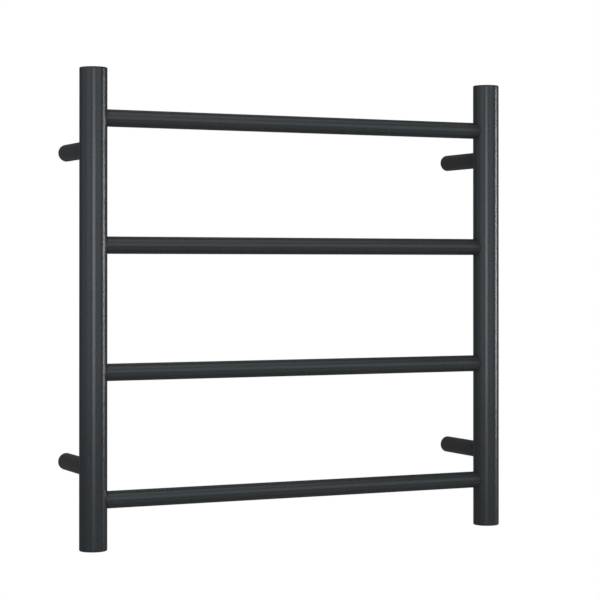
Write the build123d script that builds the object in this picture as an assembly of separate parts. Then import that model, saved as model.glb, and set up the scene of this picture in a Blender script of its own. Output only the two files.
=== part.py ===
"""Wall-mounted electric towel warmer: two round uprights, four round rungs and four wall posts.

Row frame: millimetres, +Z up, +X to the right seen from the room, +Y towards the wall.
The wall is the plane y = 0, and the origin is the centre of the four wall-screw holes.
The posts slide over four bosses that are screwed to the wall, and a grub screw under each
post locks it. One heating cable winds through the rungs, and its two ends come back to the
bottom right post, where the supply is connected.
"""

import os
from math import pi

from build123d import *

# ---- driving dimensions -------------------------------------------------------------------

OVERALL_WIDTH = 550.0
OVERALL_HEIGHT = 550.0
UPRIGHT_REACH = 98.0  # wall to the uprights' axes

UPRIGHT_DIAMETER = 32.0
UPRIGHT_WALL = 1.2
CAP_THICKNESS = 3.0
CAP_EDGE_RADIUS = 1.2
CAP_RIM_DEPTH = 6.0
CAP_RIM_WALL = 1.8

RUNG_DIAMETER = 20.0
RUNG_WALL = 1.0
RUNG_COUNT = 4
RUNG_SPACING = 145.3

POST_DIAMETER = 20.0
POST_WALL = 1.5
POST_SPACING = 365.0  # between the axes of an upright's two posts
POST_EDGE_RADIUS = 0.5

BOSS_CLEARANCE = 0.08  # radial, inside the post
BOSS_LENGTH = 28.0
BOSS_LEAD_IN = 1.0
BOSS_FLAT_DEPTH = 5.6  # axis to the flat that the grub screw bears on
SCREW_OFFSET = 2.8  # wall screw's axis, inboard of the post's axis
SCREW_HOLE_DIAMETER = 4.5
SCREW_HEAD_DIAMETER = 8.2
SCREW_SEAT_DEPTH = 6.0  # wall plane to the foot of the counterbore
LEAD_SLOT_WIDTH = 6.2
LEAD_SLOT_FLOOR = 1.8  # post's axis to the slot's flat floor, outboard

GRUB_DIAMETER = 4.9
GRUB_HOLE_DIAMETER = 5.0
GRUB_LENGTH = 4.0
GRUB_FROM_WALL = 14.0
GRUB_KEY = 2.5  # across the flats of its hexagon socket
GRUB_KEY_DEPTH = 2.0
GRUB_EDGE = 0.4
GRUB_CUP_RADIUS = 1.3
GRUB_CUP_DEPTH = 0.6

HEATER_DIAMETER = 4.5
RETURN_DIAMETER = 2.4
TAIL_DIAMETER = 2.2

# Bend radii of the wires' centre lines, each list in the order of its wire's corners.
HEATER_ENTRY_BEND = 13.0  # from the supply post down to the bottom rung
HEATER_FOOT_BEND = 11.5  # into the bottom rung, close under the supply post
HEATER_TURN_BEND = 14.0  # at every other rung end
HEATER_TOP_BEND = 20.0  # from the top rung down to the cut-out
RETURN_BENDS = [60.0, 60.0, 10.0]  # before the supply post
EARTH_BENDS = [25.0, 16.0, 8.0]  # before the supply post
SPREAD_BENDS = [4.0, 2.5]  # off the run along the post, then into a pole
TAIL_BENDS = [2.5, 2.5]

# The return and earth leads slant across the upright between these heights, from the supply post.
RETURN_SLANT_TOP = 80.0
RETURN_SLANT_FOOT = 35.0
EARTH_SLANT_FOOT = -50.0
EARTH_SLANT_TOP = -20.0

RUNG_HOLE_DIAMETER = 14.0  # in the upright's wall, for the cable
RUNG_GROMMET_BORE = 8.0
SUPPLY_HOLE_DIAMETER = 12.4
SUPPLY_GROMMET_BORE = 10.4
GROMMET_LIP = 1.3  # how far its lips stand out past the hole
GROMMET_LIP_THICKNESS = 1.2

CUTOUT_DIAMETER = 7.6
CUTOUT_LENGTH = 22.0
CUTOUT_TOP = 160.0
CUTOUT_EDGE = 1.5

JOINT_SLEEVE_DIAMETER = 5.6
JOINT_SLEEVE_LENGTH = 16.0
JOINT_SLEEVE_EDGE = 0.8
JOINT_SLEEVE_START = 76.0  # wall to the sleeve's end nearer the upright

BLOCK_WIDTH = 12.0
BLOCK_HEIGHT = 8.0
BLOCK_LENGTH = 16.0
BLOCK_START = 50.0  # wall to the block's end nearer the upright
BLOCK_EDGE = 1.0
POLE_PITCH = 3.8
POLE_TUBE_DIAMETER = 3.2
POLE_TUBE_BORE = 2.6
POLE_TUBE_LENGTH = 14.0
POLE_SCREW_DIAMETER = 1.6
POLE_SCREW_PITCH = 7.0
POLE_SCREW_HEAD = 2.4
POLE_SCREW_PLAY = 0.05  # radial, around its shank and twice that around its head
POLE_SCREW_LIFT = 0.2  # under its head, off the tube
POLE_SCREW_SINK = 0.4  # its top below the block's top
POLE_SCREW_SLOT = (0.5, 0.6)  # width and depth
WIRE_GRIP = 4.0  # length of wire inside a pole tube
WIRE_SPREAD_START = 8.0  # the wires fan out between these distances from the block
WIRE_SPREAD_END = 2.0

STUD_DIAMETER = 4.0
STUD_LENGTH = 13.0
STUD_EDGE = 0.5
TAG_RING_DIAMETER = 8.4
TAG_THICKNESS = 0.8
TAG_REACH = 9.0  # stud's axis to the barrel's axis
TAG_BARREL_DIAMETER = 4.2
TAG_BARREL_HEIGHT = 9.0
WASHER_DIAMETER = 7.6
WASHER_THICKNESS = 0.8
NUT_ACROSS_FLATS = 7.0
NUT_THICKNESS = 3.2
STUD_CLEARANCE = 0.1  # radial, in the tag, washer and nut

# ---- worked-out places --------------------------------------------------------------------

UPRIGHT_RADIUS = UPRIGHT_DIAMETER / 2
UPRIGHT_BORE = UPRIGHT_RADIUS - UPRIGHT_WALL
RUNG_RADIUS = RUNG_DIAMETER / 2
POST_RADIUS = POST_DIAMETER / 2
POST_BORE = POST_RADIUS - POST_WALL
BOSS_RADIUS = POST_BORE - BOSS_CLEARANCE

UPRIGHT_X = OVERALL_WIDTH / 2 - UPRIGHT_RADIUS
UPRIGHT_Y = -UPRIGHT_REACH
TOP_Z = OVERALL_HEIGHT / 2
POST_Z = POST_SPACING / 2
RUNG_Z = [RUNG_SPACING * ((RUNG_COUNT - 1) / 2 - i) for i in range(RUNG_COUNT)]

SIDES = {"left": -1, "right": 1}
ENDS = {"top": 1, "bottom": -1}
RUNG_NAMES = ["top_rung", "upper_rung", "lower_rung", "bottom_rung"]

SUPPLY_X = UPRIGHT_X  # the supply comes in at the bottom right post
SUPPLY_Z = -POST_Z

# Where each wire lies in the supply post, across and above the post's axis.
HEATER_PLACE = (-2.5, 0.8)
RETURN_PLACE = (2.6, 1.4)
EARTH_PLACE = (1.2, -3.2)
RETURN_RUN_X = UPRIGHT_X + 7.0  # the return's long run, clear of the heating cable


# ---- helpers ------------------------------------------------------------------------------


def rod(radius, start, direction, length):
    """A solid cylinder from start, along direction."""
    return Plane(origin=start, z_dir=direction) * Cylinder(
        radius, length, align=(Align.CENTER, Align.CENTER, Align.MIN)
    )


def block(width, depth, height, low_corner):
    """A box from its lowest corner."""
    return Pos(*low_corner) * Box(width, depth, height, align=Align.MIN)


def upright_core(side, radius):
    """A long cylinder on an upright's axis, wider than any piece that it trims."""
    x = SIDES[side] * UPRIGHT_X
    return rod(radius, (x, UPRIGHT_Y, -OVERALL_HEIGHT), (0, 0, 1), 2 * OVERALL_HEIGHT)


def supply_point(place, from_wall):
    """A point in the supply post, at a wire's place across it and a distance from the wall."""
    return (SUPPLY_X + place[0], -from_wall, SUPPLY_Z + place[1])


def wire(points, radii, diameter):
    """A round wire along straight runs joined by arcs, one radius for each corner."""
    path = FilletPolyline(*points, radius=radii)
    section = Plane(origin=path @ 0, z_dir=path % 0) * Circle(diameter / 2)
    solid = sweep(section, path=path)
    expected = path.length * pi * diameter**2 / 4
    print(f"wire {path.length:.0f} mm long, volume {solid.volume / expected:.4f} of expected")
    return solid


# ---- welded frame -------------------------------------------------------------------------


def make_upright(side):
    """A tube between its two caps, drilled for the cable at each rung, and at the supply."""
    x = SIDES[side] * UPRIGHT_X
    inboard = (-SIDES[side], 0, 0)
    foot = (x, UPRIGHT_Y, -TOP_Z + CAP_THICKNESS)
    length = OVERALL_HEIGHT - 2 * CAP_THICKNESS
    tube = rod(UPRIGHT_RADIUS, foot, (0, 0, 1), length)
    tube -= rod(UPRIGHT_BORE, foot, (0, 0, 1), length)
    for z in RUNG_Z:
        tube -= rod(RUNG_HOLE_DIAMETER / 2, (x, UPRIGHT_Y, z), inboard, UPRIGHT_DIAMETER)
    if side == "right":
        centre = (x, UPRIGHT_Y, SUPPLY_Z)
        tube -= rod(SUPPLY_HOLE_DIAMETER / 2, centre, (0, 1, 0), UPRIGHT_DIAMETER)
    return tube


def make_cap(side, end):
    """A round cap: a disc with a rounded edge, and a rim that locates it inside the tube."""
    x, up = SIDES[side] * UPRIGHT_X, ENDS[end]
    face = (x, UPRIGHT_Y, up * TOP_Z)
    disc = rod(UPRIGHT_RADIUS, face, (0, 0, -up), CAP_THICKNESS)
    outer_edge = disc.edges().filter_by(GeomType.CIRCLE).sort_by(Axis.Z)[-1 if up > 0 else 0]
    disc = fillet(outer_edge, CAP_EDGE_RADIUS)
    under = (x, UPRIGHT_Y, up * (TOP_Z - CAP_THICKNESS))
    rim = rod(UPRIGHT_BORE, under, (0, 0, -up), CAP_RIM_DEPTH)
    rim -= rod(UPRIGHT_BORE - CAP_RIM_WALL, under, (0, 0, -up), CAP_RIM_DEPTH)
    return disc + rim


def make_rung(z):
    """A tube coped to seat on both uprights."""
    start = (-UPRIGHT_X, UPRIGHT_Y, z)
    tube = rod(RUNG_RADIUS, start, (1, 0, 0), 2 * UPRIGHT_X)
    tube -= rod(RUNG_RADIUS - RUNG_WALL, start, (1, 0, 0), 2 * UPRIGHT_X)
    for side in SIDES:
        tube -= upright_core(side, UPRIGHT_RADIUS)
    return tube


def make_post(side, end):
    """A tube coped to its upright, open at the wall, with a tapped hole underneath."""
    x, z = SIDES[side] * UPRIGHT_X, ENDS[end] * POST_Z
    outside = rod(POST_RADIUS, (x, 0, z), (0, -1, 0), UPRIGHT_REACH)
    wall_edge = outside.edges().filter_by(GeomType.CIRCLE).sort_by(Axis.Y)[-1]
    tube = fillet(wall_edge, POST_EDGE_RADIUS)
    tube -= rod(POST_BORE, (x, 0, z), (0, -1, 0), UPRIGHT_REACH)
    tube -= rod(GRUB_HOLE_DIAMETER / 2, (x, -GRUB_FROM_WALL, z), (0, 0, -1), POST_DIAMETER)
    return tube - upright_core(side, UPRIGHT_RADIUS)


# ---- wall fixings -------------------------------------------------------------------------


def make_boss(side, end):
    """A turned boss on the wall: screw hole inboard, slot for a lead outboard, flat below."""
    x, z, out = SIDES[side] * UPRIGHT_X, ENDS[end] * POST_Z, SIDES[side]
    body = rod(BOSS_RADIUS, (x, 0, z), (0, -1, 0), BOSS_LENGTH)
    body = chamfer(body.edges().filter_by(GeomType.CIRCLE).sort_by(Axis.Y)[0], BOSS_LEAD_IN)
    flat_size = 2 * BOSS_RADIUS
    body -= block(
        flat_size,
        BOSS_LENGTH,
        flat_size,
        (x - BOSS_RADIUS, -BOSS_LENGTH, z - BOSS_FLAT_DEPTH - flat_size),
    )
    slot_x = x + LEAD_SLOT_FLOOR if out > 0 else x - LEAD_SLOT_FLOOR - flat_size
    body -= block(
        flat_size,
        BOSS_LENGTH,
        LEAD_SLOT_WIDTH,
        (slot_x, -BOSS_LENGTH, z - LEAD_SLOT_WIDTH / 2),
    )
    screw_x = x - out * SCREW_OFFSET
    body -= rod(SCREW_HOLE_DIAMETER / 2, (screw_x, 0, z), (0, -1, 0), BOSS_LENGTH)
    seat = (screw_x, -SCREW_SEAT_DEPTH, z)
    body -= rod(SCREW_HEAD_DIAMETER / 2, seat, (0, -1, 0), BOSS_LENGTH - SCREW_SEAT_DEPTH)
    cone_depth = (SCREW_HEAD_DIAMETER - SCREW_HOLE_DIAMETER) / 2
    body -= Plane(origin=seat, z_dir=(0, 1, 0)) * Cone(
        SCREW_HEAD_DIAMETER / 2,
        SCREW_HOLE_DIAMETER / 2,
        cone_depth,
        align=(Align.CENTER, Align.CENTER, Align.MIN),
    )
    return body


def make_grub(side, end):
    """A set screw with a hexagon socket below and a cup point on the boss's flat."""
    tip = (SIDES[side] * UPRIGHT_X, -GRUB_FROM_WALL, ENDS[end] * POST_Z - BOSS_FLAT_DEPTH)
    foot = (tip[0], tip[1], tip[2] - GRUB_LENGTH)
    body = rod(GRUB_DIAMETER / 2, tip, (0, 0, -1), GRUB_LENGTH)
    body = chamfer(body.edges().filter_by(GeomType.CIRCLE), GRUB_EDGE)
    socket = RegularPolygon(GRUB_KEY / 2, 6, major_radius=False)
    body -= Plane(origin=foot) * extrude(socket, GRUB_KEY_DEPTH)
    body -= Plane(origin=tip, z_dir=(0, 0, -1)) * Cone(
        GRUB_CUP_RADIUS, 0, GRUB_CUP_DEPTH, align=(Align.CENTER, Align.CENTER, Align.MIN)
    )
    return body


# ---- heating cable and its grommets -------------------------------------------------------


def make_grommet(side, z, direction, hole_radius, bore_radius):
    """A silicone bush in an upright's wall, with a lip on each face that follows the tube."""
    centre = (SIDES[side] * UPRIGHT_X, UPRIGHT_Y, z)
    outer = UPRIGHT_RADIUS + GROMMET_LIP_THICKNESS
    inner = UPRIGHT_BORE - GROMMET_LIP_THICKNESS
    lips = rod(hole_radius + GROMMET_LIP, centre, direction, UPRIGHT_DIAMETER)
    lips &= upright_core(side, outer) - upright_core(side, inner)
    lips -= upright_core(side, UPRIGHT_RADIUS) - upright_core(side, UPRIGHT_BORE)
    neck = rod(hole_radius, centre, direction, UPRIGHT_DIAMETER)
    neck &= upright_core(side, outer) - upright_core(side, inner)
    return lips + neck - rod(bore_radius, centre, direction, UPRIGHT_DIAMETER)


def make_heating_cable():
    """One cable from the supply post, to and fro through the rungs, to the thermal cut-out."""
    start = supply_point(HEATER_PLACE, JOINT_SLEEVE_START)
    turn = (start[0], UPRIGHT_Y, start[2])
    points, radii = [start, turn], [HEATER_ENTRY_BEND]
    side, entry_x = 1, start[0]
    for lower, upper in zip(RUNG_Z[::-1], RUNG_Z[-2::-1]):
        points += [(entry_x, UPRIGHT_Y, lower), (-side * UPRIGHT_X, UPRIGHT_Y, lower)]
        first = entry_x == start[0]
        radii += [HEATER_FOOT_BEND if first else HEATER_TURN_BEND, HEATER_TURN_BEND]
        side, entry_x = -side, -side * UPRIGHT_X
    top = RUNG_Z[0]
    points += [(entry_x, UPRIGHT_Y, top), (RETURN_RUN_X, UPRIGHT_Y, top)]
    radii += [HEATER_TURN_BEND, HEATER_TOP_BEND]
    points.append((RETURN_RUN_X, UPRIGHT_Y, CUTOUT_TOP))
    return wire(points, radii, HEATER_DIAMETER)


def make_thermal_cutout():
    """A sleeved capsule in line between the heating cable and its return."""
    body = rod(
        CUTOUT_DIAMETER / 2, (RETURN_RUN_X, UPRIGHT_Y, CUTOUT_TOP), (0, 0, -1), CUTOUT_LENGTH
    )
    return fillet(body.edges().filter_by(GeomType.CIRCLE), CUTOUT_EDGE)


def pole_x(index):
    """A terminal pole's place across the supply post: 0 live, 1 earth, 2 neutral."""
    return (index - 1) * POLE_PITCH


def to_pole(place, index):
    """The last points of a wire that runs along the supply post and into a terminal pole."""
    return [
        supply_point(place, BLOCK_START + WIRE_SPREAD_START),
        supply_point((pole_x(index), 0.0), BLOCK_START + WIRE_SPREAD_END),
        supply_point((pole_x(index), 0.0), BLOCK_START - WIRE_GRIP),
    ]


def make_return_lead():
    """From the cut-out down the right upright, and into the supply post's neutral pole."""
    post_start = supply_point(RETURN_PLACE, UPRIGHT_REACH)
    points = [
        (RETURN_RUN_X, UPRIGHT_Y, CUTOUT_TOP - CUTOUT_LENGTH),
        (RETURN_RUN_X, UPRIGHT_Y, SUPPLY_Z + RETURN_SLANT_TOP),
        (post_start[0], UPRIGHT_Y, SUPPLY_Z + RETURN_SLANT_FOOT),
        post_start,
        *to_pole(RETURN_PLACE, 2),
    ]
    return wire(points, RETURN_BENDS + SPREAD_BENDS, RETURN_DIAMETER)


def make_cold_joint():
    """The sleeved crimp where the heating cable meets its unheated tail."""
    body = rod(
        JOINT_SLEEVE_DIAMETER / 2,
        supply_point(HEATER_PLACE, JOINT_SLEEVE_START),
        (0, 1, 0),
        JOINT_SLEEVE_LENGTH,
    )
    return fillet(body.edges().filter_by(GeomType.CIRCLE), JOINT_SLEEVE_EDGE)


def make_live_tail():
    """From the cold joint into the live pole."""
    start = supply_point(HEATER_PLACE, JOINT_SLEEVE_START - JOINT_SLEEVE_LENGTH)
    return wire([start, *to_pole(HEATER_PLACE, 0)], TAIL_BENDS, TAIL_DIAMETER)


# ---- terminal block in the supply post ----------------------------------------------------


def pole_screw_places():
    """The x and y of the six clamp screws, two for each pole."""
    middle = -(BLOCK_START - BLOCK_LENGTH / 2)
    return [
        (SUPPLY_X + pole_x(index), middle + along * POLE_SCREW_PITCH / 2)
        for index in range(3)
        for along in (-1, 1)
    ]


def make_terminal_block():
    """A three-pole moulded block that the supply's cores are clamped in."""
    low = (SUPPLY_X - BLOCK_WIDTH / 2, -BLOCK_START, SUPPLY_Z - BLOCK_HEIGHT / 2)
    body = block(BLOCK_WIDTH, BLOCK_LENGTH, BLOCK_HEIGHT, low)
    body = fillet(body.edges().filter_by(Axis.Y), BLOCK_EDGE)
    for index in range(3):
        start = supply_point((pole_x(index), 0.0), BLOCK_START)
        body -= rod(POLE_TUBE_DIAMETER / 2, start, (0, 1, 0), BLOCK_LENGTH)
    for x, y in pole_screw_places():
        body -= rod(POLE_SCREW_HEAD / 2, (x, y, SUPPLY_Z), (0, 0, 1), BLOCK_HEIGHT)
    return body


def make_pole_tubes():
    """Three brass tubes, one for each pole, drilled for the clamp screws."""
    inset = (BLOCK_LENGTH - POLE_TUBE_LENGTH) / 2
    tubes = []
    for index in range(3):
        start = supply_point((pole_x(index), 0.0), BLOCK_START - inset)
        tube = rod(POLE_TUBE_DIAMETER / 2, start, (0, 1, 0), POLE_TUBE_LENGTH)
        tube -= rod(POLE_TUBE_BORE / 2, start, (0, 1, 0), POLE_TUBE_LENGTH)
        for x, y in pole_screw_places()[2 * index : 2 * index + 2]:
            tube -= rod(POLE_SCREW_DIAMETER / 2, (x, y, SUPPLY_Z), (0, 0, 1), BLOCK_HEIGHT)
        tubes.append(tube)
    return Compound(children=tubes)


def make_pole_screws():
    """Six slotted clamp screws, their tips on the wires."""
    tip_z = SUPPLY_Z + max(TAIL_DIAMETER, RETURN_DIAMETER) / 2
    head_z = SUPPLY_Z + POLE_TUBE_DIAMETER / 2 + POLE_SCREW_LIFT
    head_height = SUPPLY_Z + BLOCK_HEIGHT / 2 - POLE_SCREW_SINK - head_z
    shank_radius = POLE_SCREW_DIAMETER / 2 - POLE_SCREW_PLAY
    head_radius = POLE_SCREW_HEAD / 2 - 2 * POLE_SCREW_PLAY
    slot_width, slot_depth = POLE_SCREW_SLOT
    screws = []
    for x, y in pole_screw_places():
        shank = rod(shank_radius, (x, y, tip_z), (0, 0, 1), head_z - tip_z)
        head = rod(head_radius, (x, y, head_z), (0, 0, 1), head_height)
        head -= block(
            POLE_SCREW_HEAD,
            slot_width,
            slot_depth,
            (x - POLE_SCREW_HEAD / 2, y - slot_width / 2, head_z + head_height - slot_depth),
        )
        screws.append(shank + head)
    return Compound(children=screws)


# ---- earth connection inside the bottom right cap -----------------------------------------

STUD_FOOT_Z = -TOP_Z + CAP_THICKNESS
TAG_TOP_Z = STUD_FOOT_Z + TAG_THICKNESS
WASHER_TOP_Z = TAG_TOP_Z + WASHER_THICKNESS


def on_stud(z):
    """A point on the earth stud's axis."""
    return (SUPPLY_X, UPRIGHT_Y, z)


def stud_bore(solid):
    """The solid with a clearance hole on the stud's axis."""
    radius = STUD_DIAMETER / 2 + STUD_CLEARANCE
    return solid - rod(radius, on_stud(STUD_FOOT_Z), (0, 0, 1), STUD_LENGTH)


def make_earth_stud():
    """A stud welded to the inside of the cap."""
    body = rod(STUD_DIAMETER / 2, on_stud(STUD_FOOT_Z), (0, 0, 1), STUD_LENGTH)
    return chamfer(body.edges().filter_by(GeomType.CIRCLE).sort_by(Axis.Z)[-1], STUD_EDGE)


def make_earth_tag():
    """A ring tag on the stud, with its crimp barrel turned up beside it."""
    barrel_foot = (SUPPLY_X + TAG_REACH, UPRIGHT_Y, STUD_FOOT_Z)
    ring = rod(TAG_RING_DIAMETER / 2, on_stud(STUD_FOOT_Z), (0, 0, 1), TAG_THICKNESS)
    ring += block(
        TAG_REACH,
        TAG_BARREL_DIAMETER,
        TAG_THICKNESS,
        (SUPPLY_X, UPRIGHT_Y - TAG_BARREL_DIAMETER / 2, STUD_FOOT_Z),
    )
    ring += rod(TAG_BARREL_DIAMETER / 2, barrel_foot, (0, 0, 1), TAG_BARREL_HEIGHT)
    crimp_foot = (barrel_foot[0], barrel_foot[1], STUD_FOOT_Z + 2 * TAG_THICKNESS)
    ring -= rod(TAIL_DIAMETER / 2, crimp_foot, (0, 0, 1), TAG_BARREL_HEIGHT)
    return stud_bore(ring)


def make_earth_washer():
    """A plain washer under the nut."""
    return stud_bore(rod(WASHER_DIAMETER / 2, on_stud(TAG_TOP_Z), (0, 0, 1), WASHER_THICKNESS))


def make_earth_nut():
    """A hexagon nut that clamps the tag."""
    hexagon = RegularPolygon(NUT_ACROSS_FLATS / 2, 6, major_radius=False)
    return stud_bore(Plane(origin=on_stud(WASHER_TOP_Z)) * extrude(hexagon, NUT_THICKNESS))


def make_earth_lead():
    """From the tag's barrel up the right upright, and into the supply post's earth pole."""
    post_start = supply_point(EARTH_PLACE, UPRIGHT_REACH)
    points = [
        (SUPPLY_X + TAG_REACH, UPRIGHT_Y, STUD_FOOT_Z + 2 * TAG_THICKNESS),
        (SUPPLY_X + TAG_REACH, UPRIGHT_Y, SUPPLY_Z + EARTH_SLANT_FOOT),
        (post_start[0], UPRIGHT_Y, SUPPLY_Z + EARTH_SLANT_TOP),
        post_start,
        *to_pole(EARTH_PLACE, 1),
    ]
    return wire(points, EARTH_BENDS + SPREAD_BENDS, TAIL_DIAMETER)


# ---- the whole part -----------------------------------------------------------------------


def make_nodes():
    """Every node's name and its solids."""
    nodes = {}
    for side in SIDES:
        nodes[f"{side}_upright"] = make_upright(side)
        for end in ENDS:
            nodes[f"{side}_{end}_cap"] = make_cap(side, end)
            nodes[f"{end}_{side}_post"] = make_post(side, end)
            nodes[f"{end}_{side}_wall_boss"] = make_boss(side, end)
            nodes[f"{end}_{side}_grub_screw"] = make_grub(side, end)
    for name, z in zip(RUNG_NAMES, RUNG_Z):
        nodes[name] = make_rung(z)
        for side in SIDES:
            nodes[f"{name}_{side}_grommet"] = make_grommet(
                side, z, (-SIDES[side], 0, 0), RUNG_HOLE_DIAMETER / 2, RUNG_GROMMET_BORE / 2
            )
    nodes["supply_grommet"] = make_grommet(
        "right", SUPPLY_Z, (0, 1, 0), SUPPLY_HOLE_DIAMETER / 2, SUPPLY_GROMMET_BORE / 2
    )
    nodes["heating_cable"] = make_heating_cable()
    nodes["thermal_cutout"] = make_thermal_cutout()
    nodes["return_lead"] = make_return_lead()
    nodes["cold_joint_sleeve"] = make_cold_joint()
    nodes["live_tail"] = make_live_tail()
    nodes["terminal_block"] = make_terminal_block()
    nodes["terminal_tubes"] = make_pole_tubes()
    nodes["terminal_screws"] = make_pole_screws()
    nodes["earth_stud"] = make_earth_stud()
    nodes["earth_tag"] = make_earth_tag()
    nodes["earth_washer"] = make_earth_washer()
    nodes["earth_nut"] = make_earth_nut()
    nodes["earth_lead"] = make_earth_lead()
    return nodes


def main():
    """Writes one STEP file for each node."""
    os.makedirs("parts", exist_ok=True)
    for name, shape in make_nodes().items():
        export_step(shape, f"parts/{name}.step")


main()
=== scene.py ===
import math

import bmesh
import bpy
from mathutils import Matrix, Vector


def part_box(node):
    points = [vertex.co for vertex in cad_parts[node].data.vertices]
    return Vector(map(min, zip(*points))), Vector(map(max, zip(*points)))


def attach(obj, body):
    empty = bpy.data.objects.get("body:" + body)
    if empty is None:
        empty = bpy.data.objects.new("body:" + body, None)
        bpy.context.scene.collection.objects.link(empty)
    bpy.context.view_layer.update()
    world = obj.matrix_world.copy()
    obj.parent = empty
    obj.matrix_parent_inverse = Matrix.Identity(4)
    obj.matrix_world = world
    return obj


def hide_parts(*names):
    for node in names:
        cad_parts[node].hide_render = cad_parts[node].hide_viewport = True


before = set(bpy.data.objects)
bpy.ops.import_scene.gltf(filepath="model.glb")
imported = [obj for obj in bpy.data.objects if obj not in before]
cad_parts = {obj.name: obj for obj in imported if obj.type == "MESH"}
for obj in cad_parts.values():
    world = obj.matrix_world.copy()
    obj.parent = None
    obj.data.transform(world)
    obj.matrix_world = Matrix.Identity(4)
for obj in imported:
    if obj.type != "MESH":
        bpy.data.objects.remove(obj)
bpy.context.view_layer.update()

# Metres throughout. +Z is up, the wall is the plane y = 0 and the room is towards -Y.
mm = 0.001
sides = ("left", "right")
ends = ("top", "bottom")
rungs = ("top_rung", "upper_rung", "lower_rung", "bottom_rung")
rackBody = "rack"


def hexToLinear(code, alpha=1.0):
    channels = [int(code.lstrip("#")[i:i + 2], 16) / 255 for i in (0, 2, 4)]
    linear = [c / 12.92 if c <= 0.04045 else ((c + 0.055) / 1.055) ** 2.4 for c in channels]
    return (*linear, alpha)


def addNode(tree, kind, inputs=None, stops=(), **settings):
    # inputs hold plain values or other nodes' output sockets; stops are a ramp's positions and colours
    node = tree.nodes.new(kind)
    for name, value in settings.items():
        setattr(node, name, value)
    for socket, value in (inputs or {}).items():
        if isinstance(value, bpy.types.NodeSocket):
            tree.links.new(value, node.inputs[socket])
        else:
            node.inputs[socket].default_value = value
    for i, (position, colour) in enumerate(stops):
        node.color_ramp.elements[i].position = position
        node.color_ramp.elements[i].color = hexToLinear(colour)
    return node


def perMetre(sizeMm):
    # a texture's scale for features of this size, with object coordinates in metres
    return 1000.0 / sizeMm


def newMaterial(name, inputs=None):
    material = bpy.data.materials.new(name)
    material.use_nodes = True
    tree = material.node_tree
    tree.nodes.clear()
    shader = addNode(tree, "ShaderNodeBsdfPrincipled", inputs)
    addNode(tree, "ShaderNodeOutputMaterial", {"Surface": shader.outputs["BSDF"]})
    place = addNode(tree, "ShaderNodeTexCoord").outputs["Object"]
    return material, tree, shader, place


def feedShader(tree, shader, sockets):
    for socket, output in sockets.items():
        tree.links.new(output, shader.inputs[socket])


noiseLow, noiseHigh = 0.3, 0.7  # nearly all of a noise texture lies between these

# Polyester powder coat on stainless tube, sprayed as dry powder and baked until it flows: a satin
# skin with a faint orange peel, and under it a finer grain that breaks up the highlights.
powderCoat = {
    "colours": ("#343637", "#37393a"),  # thin and thick places in the film
    "patchMm": 60.0,
    "roughness": (0.24, 0.30),
    "ior": 1.5,
    "orangePeelMm": 1.8,
    "orangePeelHeightMm": 0.020,
    "grainMm": 0.5,  # the real grain is nearer 0.1 mm, drawn coarser so that it shows
    "grainHeightMm": 0.0025,
}


def satinPowderCoat(look=powderCoat):
    material, tree, shader, place = newMaterial("satinPowderCoat", {"IOR": look["ior"]})
    peel = addNode(tree, "ShaderNodeTexNoise", {
        "Vector": place, "Scale": perMetre(look["orangePeelMm"]), "Detail": 1.0, "Roughness": 0.4})
    grain = addNode(tree, "ShaderNodeTexNoise", {
        "Vector": place, "Scale": perMetre(look["grainMm"]), "Detail": 1.0, "Roughness": 0.5})
    patches = addNode(tree, "ShaderNodeTexNoise", {
        "Vector": place, "Scale": perMetre(look["patchMm"]), "Detail": 3.0, "Roughness": 0.6})
    thin, thick = look["colours"]
    colour = addNode(tree, "ShaderNodeValToRGB", {"Fac": patches.outputs["Fac"]},
                     stops=((noiseLow, thin), (noiseHigh, thick)))
    smooth, rough = look["roughness"]
    gloss = addNode(tree, "ShaderNodeMapRange", {
        "Value": grain.outputs["Fac"], "From Min": noiseLow, "From Max": noiseHigh,
        "To Min": smooth, "To Max": rough})
    peelBump = addNode(tree, "ShaderNodeBump", {
        "Height": peel.outputs["Fac"], "Strength": 1.0, "Distance": look["orangePeelHeightMm"] * mm})
    grainBump = addNode(tree, "ShaderNodeBump", {
        "Height": grain.outputs["Fac"], "Strength": 1.0, "Distance": look["grainHeightMm"] * mm,
        "Normal": peelBump.outputs["Normal"]})
    feedShader(tree, shader, {
        "Base Color": colour.outputs["Color"],
        "Roughness": gloss.outputs["Result"],
        "Normal": grainBump.outputs["Normal"]})
    return material


coated = satinPowderCoat()
print("powder coat made")


def skinRings(name, rings, closed=False, capped=False):
    # quads between rings of equal count; closed joins the last ring to the first, as a hollow tube
    # needs, and capped closes both ends with a fan
    mesh = bmesh.new()
    rows = [[mesh.verts.new(point) for point in ring] for ring in rings]
    count = len(rows[0])
    pairs = list(zip(rows, rows[1:]))
    if closed:
        pairs.append((rows[-1], rows[0]))
    for near, far in pairs:
        for i in range(count):
            j = (i + 1) % count
            mesh.faces.new((near[i], near[j], far[j], far[i]))
    if capped:
        for row in (rows[0], rows[-1]):
            hub = mesh.verts.new(sum((vertex.co for vertex in row), Vector()) / count)
            for i in range(count):
                mesh.faces.new((row[i], row[(i + 1) % count], hub))
    bmesh.ops.recalc_face_normals(mesh, faces=mesh.faces)
    data = bpy.data.meshes.new(name)
    mesh.to_mesh(data)
    mesh.free()
    piece = bpy.data.objects.new(name, data)
    bpy.context.scene.collection.objects.link(piece)
    return piece


def circle(centre, radius, across, up, count):
    # a ring of points round centre, in the plane of the two unit vectors
    angles = [math.tau * i / count for i in range(count)]
    return [centre + (across * math.cos(angle) + up * math.sin(angle)) * radius for angle in angles]


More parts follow.
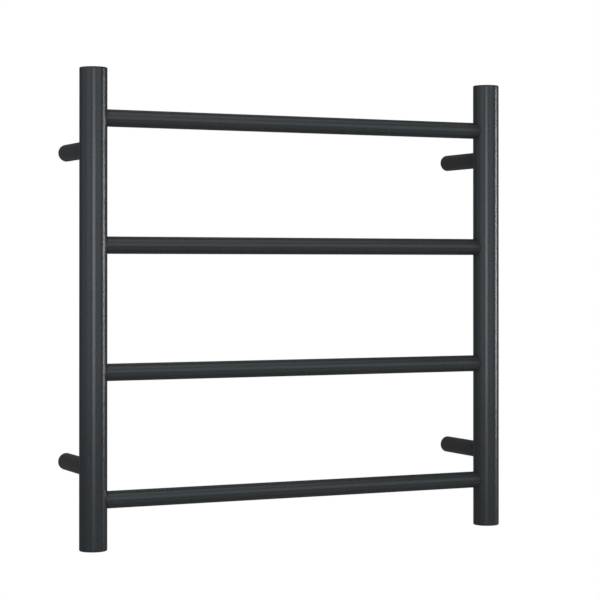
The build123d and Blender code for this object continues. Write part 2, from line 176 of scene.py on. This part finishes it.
def cutAway(piece, cutters):
    # takes the cutters out of the piece, and deletes them
    for cutter in cutters:
        modifier = piece.modifiers.new("cut", "BOOLEAN")
        modifier.object = cutter
        modifier.operation = "DIFFERENCE"
        modifier.solver = "EXACT"
    solved = piece.evaluated_get(bpy.context.evaluated_depsgraph_get())
    result = bpy.data.meshes.new_from_object(solved)
    piece.modifiers.clear()
    piece.data = result
    for cutter in cutters:
        bpy.data.objects.remove(cutter)
    return piece


def finishPiece(piece, replaced=None, sharpDeg=35.0):
    # every piece of the rack itself has the same coat and moves as one
    piece.data.materials.clear()
    piece.data.materials.append(coated)
    piece.data.set_sharp_from_angle(angle=math.radians(sharpDeg))
    for face in piece.data.polygons:
        face.use_smooth = True
    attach(piece, rackBody)
    if replaced:
        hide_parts(replaced)
    return piece


def middle(node):
    low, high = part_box(node)
    return (low + high) / 2


def halfSize(node):
    low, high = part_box(node)
    return (high - low) / 2


xAxis, yAxis, zAxis = Vector((1, 0, 0)), Vector((0, 1, 0)), Vector((0, 0, 1))
inboard = {"left": xAxis, "right": -xAxis}
around = 96  # facets round each tube
edgeSteps = 6  # facets across each rounded edge
turns = [math.tau * i / around for i in range(around)]

uprightRadius = halfSize("left_upright").x
rungRadius = halfSize("top_rung").z
postRadius = halfSize("top_left_post").z
rungHeight = {rung: middle(rung).z for rung in rungs}
postHeight = {end: middle(end + "_left_post").z for end in ends}


def jointAt(side, height):
    # the point of an upright's axis that a rung or a post leaves from
    axis = middle(side + "_upright")
    return Vector((axis.x, axis.y, height))


def saddlePoint(start, outward, across, radius, turn):
    # on the upright's skin, at this distance and turn round a tube that leaves it along outward
    sideways = radius * math.cos(turn)
    reach = math.sqrt(uprightRadius ** 2 - sideways ** 2)
    return start + outward * reach + across * sideways + zAxis * radius * math.sin(turn)


def copedRing(start, outward, across, radius):
    # the end of a tube that is cut to sit on the upright
    return [saddlePoint(start, outward, across, radius, turn) for turn in turns]


def quarterRound(edge):
    # a rounded edge from the flat end to the side, as distances in from the side and back from the end
    steps = [math.pi / 2 * i / edgeSteps for i in range(edgeSteps + 1)]
    return [(edge * (1 - math.sin(turn)), edge * (1 - math.cos(turn))) for turn in steps]


def easedEnd(start, outward, across, radius, edge):
    # a coped end with its edge rounded over, so that a thin dark line shows round the joint
    rings = []
    for inset, back in quarterRound(edge):
        foot = copedRing(start, outward, across, radius - inset)
        rings.append([point + outward * back for point in foot])
    return rings


def drill(start, along, across, up, width):
    # a cutter from the upright's axis outwards
    rims = [circle(centre, width / 2, across, up, around // 2)
            for centre in (start, start + along * 2 * uprightRadius)]
    return skinRings("drill", rims, capped=True)


uprightTube = {
    "wall": 1.2 * mm,
    "cableHole": 14.0 * mm,  # where the heating cable passes into each rung
    "supplyHole": 12.4 * mm,  # where the leads pass into the bottom right post
    "rowStep": 3.0 * mm,  # closer rows of vertices at each joint, for clean shading round the holes
    "rowsEachWay": 4,
}


def makeUpright(side):
    half = halfSize(side + "_upright").z
    heights = {-half, half}
    reach = range(-uprightTube["rowsEachWay"], uprightTube["rowsEachWay"] + 1)
    for joint in (*rungHeight.values(), *postHeight.values()):
        heights.update(joint + step * uprightTube["rowStep"] for step in reach)
    bore = uprightRadius - uprightTube["wall"]
    outer = [circle(jointAt(side, z), uprightRadius, xAxis, yAxis, around) for z in sorted(heights)]
    inner = [circle(jointAt(side, z), bore, xAxis, yAxis, around) for z in sorted(heights, reverse=True)]
    piece = skinRings(side + "_upright_tube", outer + inner, closed=True)
    cutters = [drill(jointAt(side, z), inboard[side], yAxis, zAxis, uprightTube["cableHole"])
               for z in rungHeight.values()]
    if side == "right":
        supply = jointAt(side, postHeight["bottom"])
        cutters.append(drill(supply, yAxis, xAxis, zAxis, uprightTube["supplyHole"]))
    cutAway(piece, cutters)
    return finishPiece(piece, side + "_upright")


endCap = {
    "edge": 1.2 * mm,  # rounding where the flat end meets the side
    "rimWall": 1.8 * mm,  # the collar that plugs into the tube
}


def makeCap(side, end):
    node = side + "_" + end + "_cap"
    low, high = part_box(node)
    outward = 1 if end == "top" else -1
    face = high.z if end == "top" else low.z
    thickness = abs(face - middle(side + "_upright").z) - halfSize(side + "_upright").z
    depth = high.z - low.z
    collar = uprightRadius - uprightTube["wall"]
    hollow = collar - endCap["rimWall"]
    # radius and distance behind the flat face
    profile = [(uprightRadius - inset, back) for inset, back in quarterRound(endCap["edge"])]
    profile += [(uprightRadius, thickness), (collar, thickness), (collar, depth)]
    profile += [(hollow, depth), (hollow, thickness)]
    rings = [circle(jointAt(side, face - outward * back), radius, xAxis, yAxis, around)
             for radius, back in profile]
    return finishPiece(skinRings(node + "_disc", rings, capped=True), node)


rungTube = {
    "wall": 1.0 * mm,
    "endEdge": 0.6 * mm,  # rounding of its ends where they meet the uprights
    "plainFrom": 1.6,  # upright radii from the upright's axis to the first plain ring
}


def makeRung(rung):
    height = rungHeight[rung]
    left, right = jointAt("left", height), jointAt("right", height)
    clear = xAxis * uprightRadius * rungTube["plainFrom"]
    plain = [left + clear, (left + right) / 2, right - clear]
    edge = rungTube["endEdge"]
    rings = easedEnd(left, inboard["left"], yAxis, rungRadius, edge)
    rings += [circle(centre, rungRadius, yAxis, zAxis, around) for centre in plain]
    rings += easedEnd(right, inboard["right"], yAxis, rungRadius, edge)[::-1]
    bore = rungRadius - rungTube["wall"]
    rings.append(copedRing(right, inboard["right"], yAxis, bore))
    rings += [circle(centre, bore, yAxis, zAxis, around) for centre in plain[::-1]]
    rings.append(copedRing(left, inboard["left"], yAxis, bore))
    piece = skinRings(rung + "_tube", rings, closed=True)
    return finishPiece(piece, rung)


wallPost = {
    "wall": 1.5 * mm,
    "wallEdge": 0.5 * mm,  # rounding of the end at the wall
    "endEdge": 0.6 * mm,  # rounding of the end at the upright
    "grubHole": 5.0 * mm,
    "plainFrom": 1.6,  # as for a rung
}


def makePost(side, end):
    node = end + "_" + side + "_post"
    start = jointAt(side, postHeight[end])
    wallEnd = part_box(node)[1].y
    bore = postRadius - wallPost["wall"]
    plain = start.y + uprightRadius * wallPost["plainFrom"]
    # distance along Y and radius, out to the wall and back inside
    stations = [(plain, postRadius)]
    stations += [(wallEnd - back, postRadius - inset)
                 for inset, back in reversed(quarterRound(wallPost["wallEdge"]))]
    stations += [(wallEnd, bore), (plain, bore)]
    rings = easedEnd(start, yAxis, xAxis, postRadius, wallPost["endEdge"])
    for y, radius in stations:
        rings.append(circle(Vector((start.x, y, start.z)), radius, xAxis, zAxis, around))
    rings.append(copedRing(start, yAxis, xAxis, bore))
    piece = skinRings(end + "_" + side + "_wall_post", rings, closed=True)
    grub = middle(end + "_" + side + "_grub_screw")
    aboveGrub = Vector((grub.x, grub.y, start.z))
    cutAway(piece, [drill(aboveGrub, -zAxis, xAxis, yAxis, wallPost["grubHole"])])
    return finishPiece(piece, node)


weldBead = {
    "leg": 0.4 * mm,  # how far the bead reaches along each tube, at the bottom of the joint line
    "steps": 6,
    "root": 0.15 * mm,  # how far its root goes into the joint
    "poolLength": 1.6 * mm,  # the welder's overlapping pools, softened by the coat
    "poolSwell": 0.03 * mm,
    "around": 288,
    "sharpDeg": 60.0,
}


def makeWeld(name, start, outward, across, radius):
    # a hollow bead in the corner between a tube and the upright
    pools = round(math.tau * radius / weldBead["poolLength"])
    columns = []
    for i in range(weldBead["around"]):
        turn = math.tau * i / weldBead["around"]
        leg = weldBead["leg"] + weldBead["poolSwell"] * math.sin(pools * turn)
        corner = saddlePoint(start, outward, across, radius, turn)
        foot = saddlePoint(start, outward, across, radius + leg, turn)
        toe = corner + outward * leg
        column = []
        for step in range(weldBead["steps"] + 1):
            s = step / weldBead["steps"]
            column.append(toe * (1 - s) ** 2 + corner * 2 * s * (1 - s) + foot * s ** 2)
        inwards = (foot - corner).normalized() + outward
        column.append(corner - inwards * weldBead["root"])
        columns.append(column)
    piece = skinRings(name, list(zip(*columns)), closed=True)
    return finishPiece(piece, sharpDeg=weldBead["sharpDeg"])


for side in sides:
    makeUpright(side)
    for end in ends:
        makeCap(side, end)
        makePost(side, end)
        start = jointAt(side, postHeight[end])
        root = postRadius - wallPost["endEdge"]
        makeWeld("weld_" + end + "_" + side + "_post", start, yAxis, xAxis, root)
for rung in rungs:
    makeRung(rung)
    for side in sides:
        start = jointAt(side, rungHeight[rung])
        root = rungRadius - rungTube["endEdge"]
        makeWeld("weld_" + rung + "_" + side, start, inboard[side], yAxis, root)
print("rack welded up:", len(rungs), "rungs and", len(sides) * len(ends), "posts")

# Austenitic stainless bar turned on a lathe and left bare: bright, with rings round its axis that
# stretch each highlight across them.
turnedSteel = {
    "colours": ("#a5a29c", "#b9b6b0"),
    "roughness": (0.24, 0.38),
    "scuffMm": 4.0,
    "feedMm": 0.5,  # a real finishing cut is about 0.1 mm a turn, drawn coarser so that it shows
    "feedHeightMm": 0.006,
}


def turnedStainless(node, look=turnedSteel):
    # the rings go round the node's own axis, along Y, so each boss has its own material
    material, tree, shader, place = newMaterial("turnedStainless_" + node, {"Metallic": 1.0})
    local = addNode(tree, "ShaderNodeVectorMath", {0: place, 1: middle(node)}, operation="SUBTRACT")
    parts = addNode(tree, "ShaderNodeSeparateXYZ", {"Vector": local.outputs["Vector"]})
    flat = addNode(tree, "ShaderNodeCombineXYZ", {"X": parts.outputs["X"], "Y": parts.outputs["Z"]})
    radius = addNode(tree, "ShaderNodeVectorMath", {0: flat.outputs["Vector"]}, operation="LENGTH")
    sweep = addNode(tree, "ShaderNodeMath", {
        0: radius.outputs["Value"], 1: parts.outputs["Y"]}, operation="ADD")
    phase = addNode(tree, "ShaderNodeMath", {
        0: sweep.outputs["Value"], 1: math.tau * perMetre(look["feedMm"])}, operation="MULTIPLY")
    groove = addNode(tree, "ShaderNodeMath", {0: phase.outputs["Value"]}, operation="SINE")
    scuffs = addNode(tree, "ShaderNodeTexNoise", {
        "Vector": place, "Scale": perMetre(look["scuffMm"]), "Detail": 3.0, "Roughness": 0.6})
    smooth, rough = look["roughness"]
    gloss = addNode(tree, "ShaderNodeMapRange", {
        "Value": scuffs.outputs["Fac"], "From Min": noiseLow, "From Max": noiseHigh,
        "To Min": smooth, "To Max": rough})
    dark, pale = look["colours"]
    tone = addNode(tree, "ShaderNodeValToRGB", {"Fac": scuffs.outputs["Fac"]},
                   stops=((noiseLow, dark), (noiseHigh, pale)))
    bump = addNode(tree, "ShaderNodeBump", {
        "Height": groove.outputs["Value"], "Strength": 1.0, "Distance": look["feedHeightMm"] * mm})
    feedShader(tree, shader, {
        "Base Color": tone.outputs["Color"],
        "Roughness": gloss.outputs["Result"],
        "Normal": bump.outputs["Normal"]})
    return material


# Every other finish differs only in these values: two colours that it wanders between, how large
# its mottling and its surface grain are, and how deep the grain is. Grain finer than about 0.2 mm
# is drawn at 0.15 to 0.3 mm so that it shows.
finishes = {
    # alloy steel blackened in a hot salt bath and oiled: a dark, slightly blue skin
    "blackOxideSteel": {
        "colours": ("#141517", "#1f2124"), "metallic": 0.85, "roughness": (0.36, 0.50),
        "mottleMm": 1.2, "grainMm": 0.15, "grainHeightMm": 0.002},
    # rolled and headed stainless fasteners: even grey with small scuffs
    "rolledStainless": {
        "colours": ("#8f8d88", "#b4b1ab"), "metallic": 1.0, "roughness": (0.22, 0.36),
        "mottleMm": 1.5, "grainMm": 0.2, "grainHeightMm": 0.002},
    # drawn brass with a first trace of tarnish in patches
    "drawnBrass": {
        "colours": ("#8d6f35", "#c6a155"), "metallic": 1.0, "roughness": (0.20, 0.38),
        "mottleMm": 2.0, "grainMm": 0.25, "grainHeightMm": 0.002},
    # moulded silicone rubber: soft, matt and a little dusty
    "mouldedSilicone": {
        "colours": ("#70716d", "#83847f"), "metallic": 0.0, "roughness": (0.52, 0.70),
        "mottleMm": 3.0, "grainMm": 0.25, "grainHeightMm": 0.004},
    # silicone extruded over the heating wire: chalky off-white
    "extrudedSilicone": {
        "colours": ("#c9c3b8", "#dcd7cc"), "metallic": 0.0, "roughness": (0.48, 0.62),
        "mottleMm": 8.0, "grainMm": 0.4, "grainHeightMm": 0.006},
    # polyolefin sleeve shrunk on with hot air: black, with a drawn, slightly wavy skin
    "shrunkSleeve": {
        "colours": ("#161616", "#222221"), "metallic": 0.0, "roughness": (0.34, 0.48),
        "mottleMm": 2.5, "grainMm": 1.0, "grainHeightMm": 0.02},
    # silicone insulation coloured in the mass, smooth from the extruder
    "blueInsulation": {
        "colours": ("#1b4f9c", "#2460b4"), "metallic": 0.0, "roughness": (0.32, 0.42),
        "mottleMm": 6.0, "grainMm": 0.3, "grainHeightMm": 0.003},
    "brownInsulation": {
        "colours": ("#54301c", "#653c25"), "metallic": 0.0, "roughness": (0.32, 0.42),
        "mottleMm": 6.0, "grainMm": 0.3, "grainHeightMm": 0.003},
    # natural nylon from a spark-eroded mould: milky, with a fine even texture
    "naturalNylon": {
        "colours": ("#cfcabc", "#e0dccf"), "metallic": 0.0, "roughness": (0.38, 0.50),
        "mottleMm": 5.0, "grainMm": 0.15, "grainHeightMm": 0.003},
}


def mottledFinish(name, look):
    material, tree, shader, place = newMaterial(name, {"Metallic": look["metallic"]})
    mottle = addNode(tree, "ShaderNodeTexNoise", {
        "Vector": place, "Scale": perMetre(look["mottleMm"]), "Detail": 3.0, "Roughness": 0.55})
    grain = addNode(tree, "ShaderNodeTexNoise", {
        "Vector": place, "Scale": perMetre(look["grainMm"]), "Detail": 1.0, "Roughness": 0.5})
    dark, pale = look["colours"]
    tone = addNode(tree, "ShaderNodeValToRGB", {"Fac": mottle.outputs["Fac"]},
                   stops=((noiseLow, dark), (noiseHigh, pale)))
    smooth, rough = look["roughness"]
    gloss = addNode(tree, "ShaderNodeMapRange", {
        "Value": grain.outputs["Fac"], "From Min": noiseLow, "From Max": noiseHigh,
        "To Min": smooth, "To Max": rough})
    bump = addNode(tree, "ShaderNodeBump", {
        "Height": grain.outputs["Fac"], "Strength": 1.0, "Distance": look["grainHeightMm"] * mm})
    feedShader(tree, shader, {
        "Base Color": tone.outputs["Color"],
        "Roughness": gloss.outputs["Result"],
        "Normal": bump.outputs["Normal"]})
    return material


# The earth lead's silicone is extruded in two colours at once, green with a yellow band along one
# side.
stripedInsulation = {
    "colours": ("#2f7d32", "#e3c81f"),
    "bandEdge": (0.1, 0.2),  # where the surface has turned far enough round to be yellow
    "roughness": 0.36,
    "grainMm": 0.3,
    "grainHeightMm": 0.003,
}


def greenYellowInsulation(look=stripedInsulation):
    material, tree, shader, place = newMaterial("greenYellowInsulation", {
        "Roughness": look["roughness"]})
    facing = addNode(tree, "ShaderNodeNewGeometry").outputs["Normal"]
    parts = addNode(tree, "ShaderNodeSeparateXYZ", {"Vector": facing})
    colour = addNode(tree, "ShaderNodeValToRGB", {"Fac": parts.outputs["X"]},
                     stops=zip(look["bandEdge"], look["colours"]))
    grain = addNode(tree, "ShaderNodeTexNoise", {
        "Vector": place, "Scale": perMetre(look["grainMm"]), "Detail": 1.0})
    bump = addNode(tree, "ShaderNodeBump", {
        "Height": grain.outputs["Fac"], "Strength": 1.0, "Distance": look["grainHeightMm"] * mm})
    feedShader(tree, shader, {"Base Color": colour.outputs["Color"], "Normal": bump.outputs["Normal"]})
    return material


made = {name: mottledFinish(name, look) for name, look in finishes.items()}
made["greenYellowInsulation"] = greenYellowInsulation()
finishOf = {
    "heating_cable": "extrudedSilicone",
    "thermal_cutout": "shrunkSleeve",
    "cold_joint_sleeve": "shrunkSleeve",
    "return_lead": "blueInsulation",
    "live_tail": "brownInsulation",
    "earth_lead": "greenYellowInsulation",
    "terminal_block": "naturalNylon",
    "terminal_tubes": "drawnBrass",
    "earth_tag": "drawnBrass",
    "terminal_screws": "rolledStainless",
    "earth_stud": "rolledStainless",
    "earth_washer": "rolledStainless",
    "earth_nut": "rolledStainless",
}


def materialFor(node):
    if node.endswith("_wall_boss"):
        return turnedStainless(node)
    if node.endswith("_grub_screw"):
        return made["blackOxideSteel"]
    if node.endswith("_grommet"):
        return made["mouldedSilicone"]
    if node in finishOf:
        return made[finishOf[node]]
    return coated


for name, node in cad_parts.items():
    node.data.materials.clear()
    node.data.materials.append(materialFor(name))
print("inner pieces finished in", len(made) + 1, "materials")

studio = {
    "floorZ": -1.0,
    "floorSize": 4.6,
    "floorColour": "#e8e8e6",
    "floorRoughness": 0.9,
    "floorGlow": 0.6,  # seen by the camera only, so that the floor looks pale in a low light
    "worldSeen": 1.0,  # what the camera sees behind the rack
    "worldLight": 0.10,  # what lights it
}

# Softboxes round the rack: where each stands, the point it faces, its width and height, how bright
# its face is, and its colour. The two narrow ones draw the lines of light down the uprights. The one
# behind only lifts the back, and isn't mirrored in the tubes. The bounce lies just over the floor and
# lights the rungs from below, as a pale floor does.
softboxes = {
    "narrowFront": {"at": (-0.820, -2.353, 0.10), "aim": (0, -0.098, 0.10), "size": (0.85, 0.8),
                    "radiance": 5.2, "colour": "#e9f6ff"},
    "narrowSide": {"at": (2.329, -0.679, 0.10), "aim": (0, -0.098, 0.10), "size": (0.34, 0.8),
                   "radiance": 13.8, "colour": "#fcfeff"},
    "leftWash": {"at": (-1.962, -1.300, 0.55), "aim": (0, -0.098, 0.55), "size": (1.36, 1.7),
                 "radiance": 0.98, "colour": "#e9f5ff"},
    "leftFill": {"at": (-2.198, 0.191, 0.55), "aim": (0, -0.098, 0.55), "size": (1.84, 1.7),
                 "radiance": 0.45, "colour": "#e9f5ff"},
    "rightWash": {"at": (0.771, -2.217, 0.55), "aim": (0, -0.098, 0.55), "size": (1.64, 1.7),
                  "radiance": 0.88, "colour": "#f3fbff"},
    "overhead": {"at": (0, -1.3, 1.90), "aim": (0, -1.3, 0), "size": (2.4, 2.0),
                 "radiance": 0.84, "colour": "#f6fbff"},
    "floorBounce": {"at": (0.3, -1.6, -0.98), "aim": (0.3, -1.6, 0), "size": (3.0, 1.7),
                    "radiance": 0.20, "colour": "#f3fbff"},
    "overheadBack": {"at": (0, 1.1, 1.90), "aim": (0, 1.1, 0), "size": (2.4, 1.2),
                     "radiance": 0.25, "colour": "#f6fbff"},
    "behind": {"at": (0.3, 1.9, 0.30), "aim": (0, 0, 0), "size": (2.2, 1.6),
               "radiance": 1.6, "colour": "#f6fbff", "mirrored": False},
}


def addSoftbox(name, look):
    width, height = look["size"]
    light = bpy.data.lights.new(name, "AREA")
    light.shape = "RECTANGLE"
    light.size, light.size_y = width, height
    light.energy = look["radiance"] * math.pi * width * height
    light.color = hexToLinear(look["colour"])[:3]
    lamp = bpy.data.objects.new(name, light)
    lamp.location = look["at"]
    facing = Vector(look["aim"]) - Vector(look["at"])
    lamp.rotation_euler = facing.to_track_quat("-Z", "Y").to_euler()
    lamp.visible_camera = False
    lamp.visible_glossy = look.get("mirrored", True)
    bpy.context.scene.collection.objects.link(lamp)


for name, look in softboxes.items():
    addSoftbox(name, look)

world = bpy.data.worlds.new("paleStudio")
world.use_nodes = True
worldTree = world.node_tree
worldTree.nodes.clear()
rays = addNode(worldTree, "ShaderNodeLightPath")
strength = addNode(worldTree, "ShaderNodeMapRange", {
    "Value": rays.outputs["Is Camera Ray"],
    "To Min": studio["worldLight"], "To Max": studio["worldSeen"]})
backdrop = addNode(worldTree, "ShaderNodeBackground", {
    "Color": hexToLinear("#ffffff"), "Strength": strength.outputs["Result"]})
addNode(worldTree, "ShaderNodeOutputWorld", {"Surface": backdrop.outputs["Background"]})
bpy.context.scene.world = world
bpy.context.scene.view_settings.view_transform = "Standard"


def palePaper():
    # uncoated paper, rolled matt: even and pale, without a sheen
    colour = hexToLinear(studio["floorColour"])
    material, tree, shader, place = newMaterial("palePaper", {
        "Base Color": colour, "Roughness": studio["floorRoughness"], "Emission Color": colour})
    seen = addNode(tree, "ShaderNodeLightPath").outputs["Is Camera Ray"]
    glow = addNode(tree, "ShaderNodeMapRange", {
        "Value": seen, "To Min": 0.0, "To Max": studio["floorGlow"]})
    feedShader(tree, shader, {"Emission Strength": glow.outputs["Result"]})
    return material


def makeFloor():
    half = studio["floorSize"] / 2
    mesh = bmesh.new()
    for x, y in ((-half, -half), (half, -half), (half, half), (-half, half)):
        mesh.verts.new((x, y, studio["floorZ"]))
    mesh.faces.new(mesh.verts)
    data = bpy.data.meshes.new("floor")
    mesh.to_mesh(data)
    mesh.free()
    data.materials.append(palePaper())
    floor = bpy.data.objects.new("floor", data)
    floor.visible_glossy = False  # keeps its hard edge out of the tubes
    bpy.context.scene.collection.objects.link(floor)


makeFloor()

cameraView = {
    "at": (-0.9656, -2.1496, 0.0478),
    "turnDeg": -25.23,
    "tiltDeg": 0.26,
    "sensorMm": 36.0,
    "lensMm": 113.69,
    "shiftY": -0.0695,
}
cameraData = bpy.data.cameras.new("camera")
cameraData.sensor_width = cameraView["sensorMm"]
cameraData.lens = cameraView["lensMm"]
cameraData.shift_y = cameraView["shiftY"]
camera = bpy.data.objects.new("camera", cameraData)
camera.location = cameraView["at"]
tilt = math.radians(90 + cameraView["tiltDeg"])
turn = math.radians(cameraView["turnDeg"])
camera.rotation_euler = (tilt, 0, turn)
bpy.context.scene.collection.objects.link(camera)
bpy.context.scene.camera = camera
print("studio ready")
